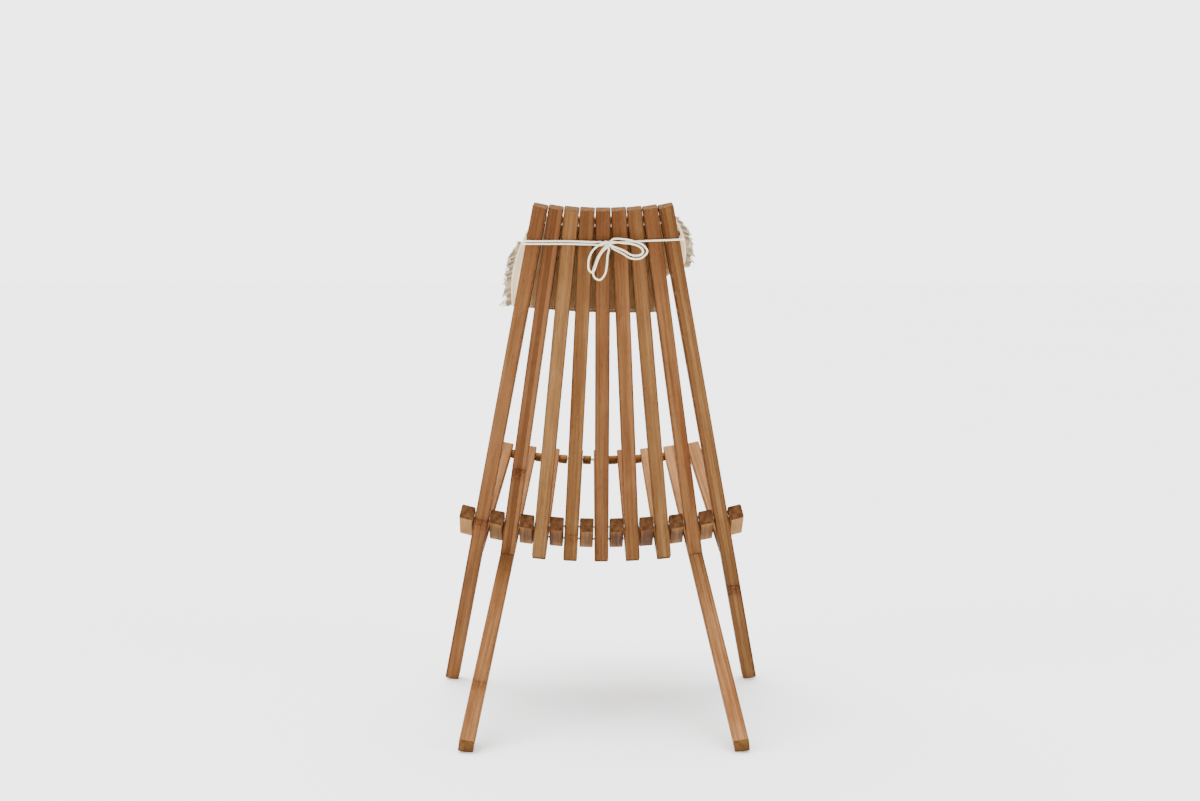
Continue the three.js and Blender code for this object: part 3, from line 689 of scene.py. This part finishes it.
def make_knot():
    """An overhand knot drawn tight: one closed run of cord that passes through itself three times"""
    turn = np.linspace(0, 2 * math.pi, KNOT_STEPS, endpoint=False)
    wide, deep, high = (KNOT_HALF - CORD_RADIUS) / [3, 1, 3]
    line = np.column_stack([wide * (np.sin(turn) + 2 * np.sin(2 * turn)),
                            -deep * np.sin(3 * turn) * KNOT_FLATTER,
                            high * (np.cos(turn) - 2 * np.cos(2 * turn))]) + KNOT_AT
    line = evenly(np.vstack([line, line[:1]]), RING_STEP)[:-1]
    knot = make_tubes("bow_knot_tied", [line], COTTON, CORD_RADIUS * KNOT_THICKER, closed=True, **CORD_LAY)
    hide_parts("bow_knot")
    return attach(knot, "back")


CORD_ENTRY = 4 * MM
TIES = {
    "tie_strand_1": {
        "start": (0.1257, 0.1706, 0.8094),
        "points": [(0.1257, 0.1748, 0.8094), (0.1315, 0.1999, 0.808), (0.124, 0.2067, 0.808),
                   (0.098, 0.2083, 0.808), (0.055, 0.2111, 0.808), (0.014, 0.2144, 0.8065)],
        "arrive": (0.95, -0.25, 0.22),
    },
    "tie_strand_2": {
        "start": (0.1279, 0.1682, 0.8047),
        "points": [(0.1279, 0.1724, 0.8047), (0.1315, 0.1977, 0.8035), (0.124, 0.2045, 0.8035),
                   (0.098, 0.2062, 0.8035), (0.055, 0.2091, 0.8034), (0.014, 0.2129, 0.8022)],
        "arrive": (0.95, -0.25, -0.22),
    },
    "tie_strand_3": {
        "start": (-0.1316, 0.1703, 0.8119),
        "points": [(-0.1316, 0.1745, 0.8119), (-0.132, 0.2014, 0.811), (-0.1245, 0.2079, 0.8105),
                   (-0.098, 0.2095, 0.8095), (-0.06, 0.2117, 0.808), (-0.027, 0.2144, 0.8063)],
        "arrive": (-0.95, -0.25, 0.1),
    },
}
LOOPS = {
    "bow_loop_1": {
        "leave": (-0.75, 0.2, 0.65),
        "points": [(-0.031, 0.2219, 0.8115), (-0.048, 0.2229, 0.8085), (-0.066, 0.2229, 0.801),
                   (-0.072, 0.2229, 0.791), (-0.062, 0.2219, 0.7805), (-0.046, 0.2209, 0.78),
                   (-0.03, 0.2194, 0.789)],
        "arrive": (-0.7, -0.1, -0.7),
    },
    "bow_loop_2": {
        "leave": (-0.8, 0.6, 0.25),
        "points": [(-0.032, 0.2234, 0.805), (-0.048, 0.2239, 0.8033), (-0.061, 0.2239, 0.798),
                   (-0.0652, 0.2239, 0.7918), (-0.0632, 0.2237, 0.7872), (-0.0575, 0.2234, 0.7848),
                   (-0.047, 0.2234, 0.7853), (-0.033, 0.2224, 0.793)],
        "arrive": (-0.7, 0.6, -0.4),
    },
    "bow_loop_3": {
        "leave": (-0.15, 0.1, -1),
        "points": [(-0.0075, 0.2189, 0.785), (-0.006, 0.2194, 0.768), (-0.003, 0.2199, 0.754),
                   (0.005, 0.2199, 0.745), (0.013, 0.2199, 0.748), (0.0165, 0.2199, 0.757),
                   (0.013, 0.2199, 0.77), (0.0085, 0.2199, 0.782)],
        "arrive": (0.7, 0.1, -0.75),
    },
    "bow_loop_4": {
        "leave": (0.75, 0.7, 0.1),
        "points": [(0.009, 0.2244, 0.8), (0.018, 0.2254, 0.791), (0.023, 0.2254, 0.779),
                   (0.0242, 0.2254, 0.7675), (0.0227, 0.2254, 0.7608), (0.0188, 0.2254, 0.7573),
                   (0.0149, 0.2254, 0.7602), (0.0124, 0.2254, 0.7668), (0.0085, 0.2254, 0.778),
                   (0.002, 0.2249, 0.79)],
        "arrive": (0.2, 0.8, -0.6),
    },
}


def make_cord(name, points):
    line = smooth_path(points, RING_STEP)
    cord = make_tubes(name + "_laid", [line], COTTON, CORD_RADIUS, **CORD_LAY)
    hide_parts(name)
    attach(cord, "back")


def make_cords():
    knot = make_knot()
    for name, tie in TIES.items():
        start = np.array(tie["start"])
        inside = start - [0, CORD_ENTRY, 0]
        make_cord(name, [inside, start, *tie["points"], *at_knot(tie["arrive"])[::-1]])
    for name, loop in LOOPS.items():
        inner = at_knot(loop["leave"])
        make_cord(name, [*inner, *loop["points"], *at_knot(loop["arrive"])[::-1]])


make_cords()


# Pillow: a linen case of two panels, filled, and bent into the hollow of the fanned back

PILLOW_AT = np.array([0.006, 0.152361, 0.769448])
PILLOW_TILT = math.radians(-25)
PILLOW_AXES = np.array([[1, 0, 0], [0, math.cos(PILLOW_TILT), math.sin(PILLOW_TILT)],
                        [0, -math.sin(PILLOW_TILT), math.cos(PILLOW_TILT)]])
HALF_WIDTH = 146 * MM
HALF_HEIGHT = 92 * MM
# Each edge's distance from the middle at its low end, middle and high end, as shares of the half sizes
LEFT_SHARES = (1.01, 0.97, 0.71)
RIGHT_SHARES = (0.67, 1.0, 0.83)
TOP_SHARES = (0.93, 0.955, 0.92)
BOTTOM_SHARES = (1.05, 0.99, 0.99)
TUCK_SHARE = 0.3
TUCK_START = 0.04
TUCK_FULL = 0.36
HOLLOW_SHARE = 1.105
CROWN = 45 * MM
BELLY = 8.6 * MM
SEAM = 1.5 * MM
SEAM_SHARE = 0.25
SWELL_POWER = 2.6
SWELL_ROUND = 0.55
# Heights in millimetres, of the soft hollows and of the creases where the case is pulled. A pull has its
# place across and up, the creases' height, how many they are and how far they run
HOLLOW_HEIGHTS = (1.8, 0.9)
PULLS = ((0.97, 0.5, 4.2, 13, 0.42), (-0.97, 0.55, 4.2, 12, 0.42), (-0.72, -0.24, 5.5, 9, 0.36),
         (0.95, -0.95, 3.4, 14, 0.34), (-0.6, -0.98, 3.2, 11, 0.3), (0.1, -1.0, 2.2, 8, 0.3))
PULL_START = (0.03, 0.2)
CREASE_WAVER = 1.5
# Filling it: the cloth's settings, how long it runs, and how much of the result is used
CLOTH_SETTINGS = {"quality": 6, "tension_stiffness": 18, "compression_stiffness": 18, "shear_stiffness": 6,
                  "bending_stiffness": 0.12, "use_pressure": True, "uniform_pressure_force": 5}
FILL_FRAMES = 24
PANEL_COLUMNS = 96
PANEL_ROWS = 60
PANEL_GAP = 0.6 * MM
DRAWN_SHARE = 0.4
DRAWN_FROM_RIM = 0.12
FILLED_SHARE = 0.6
# The panel behind is cream at its ends, and turns to painted shade between these distances from them, where
# it lies deep behind the slats
CREAM_LEFT = (18 * MM, 50 * MM)
CREAM_RIGHT = (4 * MM, 14 * MM)


def placed(local):
    """Points of the pillow's own axes, X across, -Y to the front and Z up, in the frame"""
    return np.asarray(local) @ PILLOW_AXES + PILLOW_AT


def edge_share(shares, at):
    low, middle, high = shares
    return middle + (high - low) / 2 * at + ((low + high) / 2 - middle) * at**2


def smooth(value, start, full):
    share = np.clip((value - start) / (full - start), 0, 1)
    return share * share * (3 - 2 * share)


def shaped(across, up, depth):
    """Points in the pillow's outline from shares across and up, -1 to 1, bent with the fan of the slats"""
    left = edge_share(LEFT_SHARES, up)
    right = edge_share(RIGHT_SHARES, up) - TUCK_SHARE * smooth(-up, TUCK_START, TUCK_FULL) * (1 + up)
    top = (1 + up) * edge_share(TOP_SHARES, across)
    bottom = (1 - up) * edge_share(BOTTOM_SHARES, across)
    wide = ((1 + across) * left - (1 - across) * right) * HALF_WIDTH / 2
    return np.stack([wide, depth - HOLLOW_SHARE * wide**2, (top - bottom) * HALF_HEIGHT / 2], -1)


def swell(share):
    return (1 - np.abs(share) ** SWELL_POWER) ** SWELL_ROUND


def panels():
    """Two flat panels that share their rim: shares across and up, each point's side, and the faces"""
    across, up = np.meshgrid(np.linspace(-1, 1, PANEL_COLUMNS + 1), np.linspace(-1, 1, PANEL_ROWS + 1))
    rim = (np.abs(across) == 1) | (np.abs(up) == 1)
    front = np.arange(across.size).reshape(across.shape)
    back = np.where(rim, front, 0)
    back[~rim] = across.size + np.arange((~rim).sum())
    shares = np.column_stack([np.concatenate([way.ravel(), way[~rim]]) for way in (across, up)])
    side = np.concatenate([np.where(rim.ravel(), 0, -1), np.ones((~rim).sum())])
    faces = []
    for row in range(PANEL_ROWS):
        for step in range(PANEL_COLUMNS):
            cell = ((row, step), (row, step + 1), (row + 1, step + 1), (row + 1, step))
            faces.append([front[index] for index in cell])
            faces.append([back[index] for index in cell[::-1]])
    return shares, side, faces


def inflate(points, faces):
    """The two panels filled by pressure: the rim draws in and folds stand off the seams"""
    case = make_piece("pillow_case", points, faces, LINEN)
    cloth = case.modifiers.new("cloth", "CLOTH")
    for setting, value in CLOTH_SETTINGS.items():
        setattr(cloth.settings, setting, value)
    cloth.settings.effector_weights.gravity = 0
    cloth.collision_settings.use_collision = False
    cloth.collision_settings.use_self_collision = False
    for step in range(FILL_FRAMES):
        bpy.context.scene.frame_set(step + 1)
    made = case.evaluated_get(bpy.context.evaluated_depsgraph_get()).to_mesh()
    filled = read(made.vertices, "co", 3).reshape(-1, 3)
    bpy.context.scene.frame_set(1)
    bpy.data.objects.remove(case)
    return filled


def folds(shares):
    """Creases that run out from where the case is pulled, and soft hollows in its filling"""
    across, up = shares.T
    wide, small = HOLLOW_HEIGHTS
    total = wide * np.sin(across * 4.1 + up * 2.3 + 0.6) * np.cos(up * 3.7 - across * 1.9)
    total += small * np.sin(across * 11 - up * 6 + 2 * np.sin(up * 3))
    for at_across, at_up, strength, count, reach in PULLS:
        over, higher = across - at_across, (up - at_up) * HALF_HEIGHT / HALF_WIDTH
        distance, turn = np.hypot(over, higher), np.arctan2(higher, over)
        crease = np.sin(count * turn + CREASE_WAVER * np.sin(3 * turn + at_across))
        total += strength * crease * smooth(distance, *PULL_START) * np.exp(-distance / reach)
    return total * MM * swell(up) * swell(across) ** 0.5


def make_pillow():
    shares, side, faces = panels()
    across, up = shares.T
    dome = swell(across) * swell(up)
    depth = dome
    flat = np.column_stack([across * HALF_WIDTH, side * PANEL_GAP, up * HALF_HEIGHT])
    filled = inflate(flat, faces)
    drawn = (filled - flat)[:, [0, 2]] / [HALF_WIDTH, HALF_HEIGHT] * DRAWN_SHARE
    drawn *= smooth(1 - np.abs(shares), 0, DRAWN_FROM_RIM)
    across, up = across + drawn[:, 0], up + drawn[:, 1]
    depth = np.abs(filled[:, 1]) / np.abs(filled[:, 1]).max()
    depth = FILLED_SHARE * depth + (1 - FILLED_SHARE) * dome
    front = -SEAM * np.minimum(depth / SEAM_SHARE, 1) - CROWN * depth + folds(shares)
    behind = np.minimum(SEAM + BELLY * depth, SEAM + BELLY)
    thick = np.where(side < 0, front, np.where(side > 0, behind, 0))
    # the third coordinate paints shade on the panel behind, cream at its ends
    own = np.column_stack([shares[:, 0] * HALF_WIDTH, shares[:, 1] * HALF_HEIGHT, side * SHADE_FULL_AT])
    from_end = HALF_WIDTH - np.abs(own[:, 0])
    own[:, 2] *= np.where(own[:, 0] > 0, smooth(from_end, *CREAM_LEFT), smooth(from_end, *CREAM_RIGHT))
    to_side, to_top = ((1 - np.abs(shares)) * [HALF_WIDTH, HALF_HEIGHT]).T
    run = np.where(to_side < to_top, own[:, 1], own[:, 0])
    rim = np.column_stack([np.minimum(to_side, to_top), run, side])
    attributes = [("cloth", own), ("rim", rim)]
    pillow = make_piece("head_pillow_case", placed(shaped(across, up, thick)), faces, LINEN, attributes)
    subdivision = pillow.modifiers.new("round", "SUBSURF")
    subdivision.levels = subdivision.render_levels = 1
    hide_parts("head_pillow")
    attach(pillow, "back")


make_pillow()


# Frayed ends: a strip of the case beyond each side seam, unravelled into loose threads

FRAYS = {
    "frayed_end_1": {"side": 1, "low": -0.97, "high": 0.4},
    "frayed_end_2": {"side": -1, "low": -0.1, "high": 0.93},
}
FRAY_CLOTH = 12 * MM
FRAY_ROOT = 5 * MM
TOP_WIDTH_SHARE = 0.4
TAPER = 0.34
FRAY_ROWS = 190
FRAY_COLUMNS = 11
FRAY_WEAVE_SHARE = 1.6

# The strip's ruffle: its height, the length and twist of its folds, and how unevenly they lie
RUFFLE = 5 * MM
RUFFLE_LENGTH = 12.5 * MM
RUFFLE_TWIST = 1.5
RUFFLE_OPENING = 0.6
RUFFLE_WIDEST = 1.2
RUFFLE_LEAN = 0.6
WANDERS = ((2.3, 13 * MM, 0, 1), (1.2, 5.3 * MM, 1, 2))  # strength, wave, start and turn across the strip
UNEVEN_SHARES = (0.85, 0.25)
UNEVEN_WAVE = 17 * MM
SWAY_SHARES = {"out": 0.85, "sideways": 0.35, "up": 0.5, "sag": 0.1}

# Its ragged edge, and the painted shade in its folds and towards its root
RAGGED_SHARE = 0.12
RAGGED_WAVE = 3.1 * MM
RAGGED_SPREAD = 0.1
FOLD_SHADE_SHARES = (0.5, 0.3, 0.15)

# Loose threads, longest in the tuft at the pillow's lower corner, and a few that are wound round the ruffle
THREAD_RADIUS = 0.3 * MM
THREAD_PITCH = 0.5 * MM
THREAD_POINTS = 8
THREAD_ROOT_SHARE = 0.85
THREAD_REACH = (1 * MM, 4.5 * MM)
THREAD_DROOP = (0, 2 * MM)
THREAD_CURL = 1.4 * MM
CURL_TURNS = (5, 4)
CURL_STARTS = (0, 6)
THREAD_STEP = 1.3 * MM
THREAD_LAY = {"strands": 2, "lay_length": 2 * MM, "sides": 6, "groove_share": 0.1}
TUFT = 13 * MM
TUFT_FROM = (0.78, 0.95)
TUFT_REACH_SHARES = (0.3, 1)
TUFT_DROOP_SHARE = 0.3
WOUND_STARTS = (0.02, 0.3, 0.62)
WOUND_SHARE = 0.3
WOUND_POINTS = 60
WOUND_OUT_SHARES = (0.75, 0.3)
WOUND_TURN = 19
WOUND_OFF = 0.5 * MM


def fray_width(height, high):
    """The strip is narrower towards its upper end, where the seam is whole"""
    return FRAY_CLOTH * (TOP_WIDTH_SHARE + (1 - TOP_WIDTH_SHARE) * smooth(high - height, 0, TAPER))


def fold_phase(share, run):
    """The ruffle's folds lean over and are unevenly wide"""
    wander = sum(strength * math.sin(run / wave + start + turn * share)
                 for strength, wave, start, turn in WANDERS)
    return 2 * math.pi * run / RUFFLE_LENGTH + wander + RUFFLE_TWIST * share


def ruffled(side, height_share, out, run):
    """A point of the strip: how far up its seam, how far out from it, and its place along the ruffle"""
    seam = shaped(np.array(side), np.array(height_share), 0)
    share = out / FRAY_CLOTH
    phase = fold_phase(share, run)
    steady, uneven = UNEVEN_SHARES
    reach = RUFFLE * min(share, RUFFLE_WIDEST) ** RUFFLE_OPENING
    reach *= steady + uneven * math.sin(run / UNEVEN_WAVE + 1)
    sideways = SWAY_SHARES["sideways"] * reach * math.sin(phase - RUFFLE_LEAN)
    upward = SWAY_SHARES["up"] * reach * math.cos(phase)
    return seam + [side * (out * SWAY_SHARES["out"] + sideways), reach * math.sin(phase),
                   upward - SWAY_SHARES["sag"] * out]


def make_fray(name, side, low, high):
    heights = np.linspace(low, high, FRAY_ROWS + 1)
    length = (high - low) * HALF_HEIGHT
    runs = np.linspace(0, length, FRAY_ROWS + 1)
    ragged = RAGGED_SHARE * np.sin(runs / RAGGED_WAVE) + RAGGED_SPREAD * rng.standard_normal(FRAY_ROWS + 1)
    middling, folded, outward = FOLD_SHADE_SHARES
    local, fold_shade = [], []
    for height, run, longer in zip(heights, runs, ragged):
        for share in np.linspace(0, 1, FRAY_COLUMNS + 1):
            out = (fray_width(height, high) + FRAY_ROOT) * share * (1 + longer * share**4) - FRAY_ROOT
            local.append(ruffled(side, height, max(out, 0), run) + [side * min(out, 0), 0, 0])
            reached = max(out, 0) / FRAY_CLOTH
            # painted shade, deeper in the folds' hollows and towards the seam
            fold_shade.append(middling - folded * math.sin(fold_phase(reached, run)) - outward * reached)
    faces = []
    for row in range(FRAY_ROWS):
        for column in range(FRAY_COLUMNS):
            a = row * (FRAY_COLUMNS + 1) + column
            faces.append([a, a + 1, a + FRAY_COLUMNS + 2, a + FRAY_COLUMNS + 1])
    corner = np.array(local).reshape(FRAY_ROWS + 1, FRAY_COLUMNS + 1, 3)
    own = np.zeros_like(corner)
    own[:, :, 0] = np.linspace(0, FRAY_CLOTH, FRAY_COLUMNS + 1)
    own[:, :, 1] = runs[:, None] * FRAY_WEAVE_SHARE
    own[:, :, 2] = np.reshape(fold_shade, own.shape[:2]) * SHADE_FULL_AT
    cloth = make_piece(name + "_cloth", placed(local), faces, FRAY, [("cloth", own)])
    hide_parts(name)
    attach(cloth, "back")
    threads = make_threads(name, side, low, high, length)


def make_threads(name, side, low, high, length):
    """Loose threads that stand out past the ruffled cloth, each with its own length and curl"""
    lines = []
    for run in np.arange(THREAD_PITCH, length, THREAD_PITCH):
        height = low + (high - low) * run / length
        tuft = TUFT * smooth(-height, *TUFT_FROM)
        reach = rng.uniform(*THREAD_REACH) + rng.uniform(*TUFT_REACH_SHARES) * tuft
        droop = rng.uniform(*THREAD_DROOP) + tuft * TUFT_DROOP_SHARE
        curl, phase = rng.uniform(-THREAD_CURL, THREAD_CURL), rng.uniform(*CURL_STARTS)
        root = fray_width(height, high) * THREAD_ROOT_SHARE
        line = []
        for step in np.linspace(0, 1, THREAD_POINTS):
            bent = [0, curl * math.sin(step * CURL_TURNS[0] + phase) * step,
                    curl * math.cos(step * CURL_TURNS[1] + phase) * step - droop * step**2]
            line.append(ruffled(side, height, root + step * reach, run) + bent)
        lines.append(placed(line))
    steady, swing = WOUND_OUT_SHARES
    for start in WOUND_STARTS:
        line = []
        for step in np.linspace(start, start + WOUND_SHARE, WOUND_POINTS):
            out = FRAY_CLOTH * (steady + swing * math.sin(step * WOUND_TURN))
            point = ruffled(side, low + (high - low) * step, out, step * length)
            line.append(point + [side * 2 * WOUND_OFF, WOUND_OFF, 0])
        lines.append(placed(line))
    lines = [smooth_path(line, THREAD_STEP) for line in lines]
    threads = make_tubes(name + "_threads", lines, THREAD, THREAD_RADIUS, **THREAD_LAY)
    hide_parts(name)
    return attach(threads, "back")


for name, fray in FRAYS.items():
    make_fray(name, **fray)


# Eyelets: stitched holes in the case behind, that the cord comes out of

EYELETS = {
    "eyelet_left": {"at": (0.1278, 0.175, 0.8118), "half": (5 * MM, 8 * MM)},
    "eyelet_right": {"at": (-0.132, 0.175, 0.8135), "half": (4.8 * MM, 7.5 * MM)},
}
STITCHED_RADIUS = 0.9 * MM
STITCHED_STEP = 0.4 * MM
STITCHED_LAY = {"strands": 2, "lay_length": 1.7 * MM, "sides": 12, "groove_share": 0.3}
RING_OFF = 0.5 * MM
SLIT_OFF = 0.6 * MM
SLIT_DEEP = 0.3 * MM
SLIT_SHARE = 0.92
OVAL_POINTS = 97


def make_eyelet(name, at, half):
    """A buttonhole ring of wound thread round a dark disc of painted shade for the slit, flat on the case"""
    middle, normal = bpy.data.objects["head_pillow_case"].closest_point_on_mesh(at)[1:3]
    middle = np.array(middle)
    out = np.array(normal) + PILLOW_AXES[1]
    out /= np.linalg.norm(out)
    first = np.cross(out, [0, 0, 1])
    first /= np.linalg.norm(first)
    second = np.cross(first, out)
    turn = np.linspace(0, 2 * math.pi, OVAL_POINTS)[:, None]
    oval = first * half[0] * np.cos(turn) + second * half[1] * np.sin(turn)
    line = evenly(middle + out * RING_OFF + oval, STITCHED_STEP)[:-1]
    ring = make_tubes(name + "_ring", [line], THREAD, STITCHED_RADIUS, closed=True, **STITCHED_LAY)
    # a dark disc of painted shade where the slit opens into the case
    points = [*(middle + out * SLIT_OFF + oval * SLIT_SHARE)[:-1], middle + out * SLIT_DEEP]
    hub = len(points) - 1
    faces = [(index, (index + 1) % hub, hub) for index in range(hub)]
    hole = make_piece(name + "_hole", points, faces, HOLE_SHADE, [("cloth", points)])
    for piece in (ring, hole):
        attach(piece, "back")


for name, eyelet in EYELETS.items():
    make_eyelet(name, **eyelet)


# Floor and light

FLOOR_HALF = 30
FLOOR_TONES = ((243, 243, 242), (247, 247, 246))
FLOOR_CELL = (1.3, 1.3, 1.3)
FLOOR_ROUGHNESS = 0.75
STUDIO_LIGHT = 1.2
STUDIO_SEEN = 4.0
# Azimuth, from straight behind the chair towards its +X side, height, strength and softness
SUNS = {"above": (150, 72, 8.6, 70), "left": (58, 16, 2.6, 35), "right": (-58, 16, 2.6, 35)}


def make_floor():
    pale = Surface("floor_pale", FLOOR_ROUGHNESS)
    cloudy = pale.noise(pale.node("TexCoord", {}, "Object"), FLOOR_CELL)
    pale.set("Base Color", pale.mix(cloudy, *(linear(tone) for tone in FLOOR_TONES)))
    corners = [(x * FLOOR_HALF, y * FLOOR_HALF, 0) for x, y in ((-1, -1), (1, -1), (1, 1), (-1, 1))]
    make_piece("floor", corners, [(0, 1, 2, 3)], pale.material)


def make_world():
    """A white studio, which is seen brighter than it lights"""
    world = bpy.data.worlds.new("studio")
    world.use_nodes = True
    nodes, links = world.node_tree.nodes, world.node_tree.links
    seen = nodes.new("ShaderNodeLightPath").outputs["Is Camera Ray"]
    strength = nodes.new("ShaderNodeMapRange")
    strength.inputs["To Min"].default_value = STUDIO_LIGHT
    strength.inputs["To Max"].default_value = STUDIO_SEEN
    links.new(seen, strength.inputs["Value"])
    background = nodes["Background"]
    background.inputs["Color"].default_value = (1, 1, 1, 1)
    links.new(strength.outputs["Result"], background.inputs["Strength"])
    bpy.context.scene.world = world


def make_sun(name, azimuth, height, strength, softness):
    """Soft light from far off, its angles in degrees"""
    data = bpy.data.lights.new(name, "SUN")
    data.energy = strength
    data.angle = math.radians(softness)
    light = bpy.data.objects.new(name, data)
    light.rotation_euler = (math.radians(height - 90), 0, math.radians(-azimuth))
    bpy.context.scene.collection.objects.link(light)


make_floor()
make_world()
for name, sun in SUNS.items():
    make_sun(name, *sun)
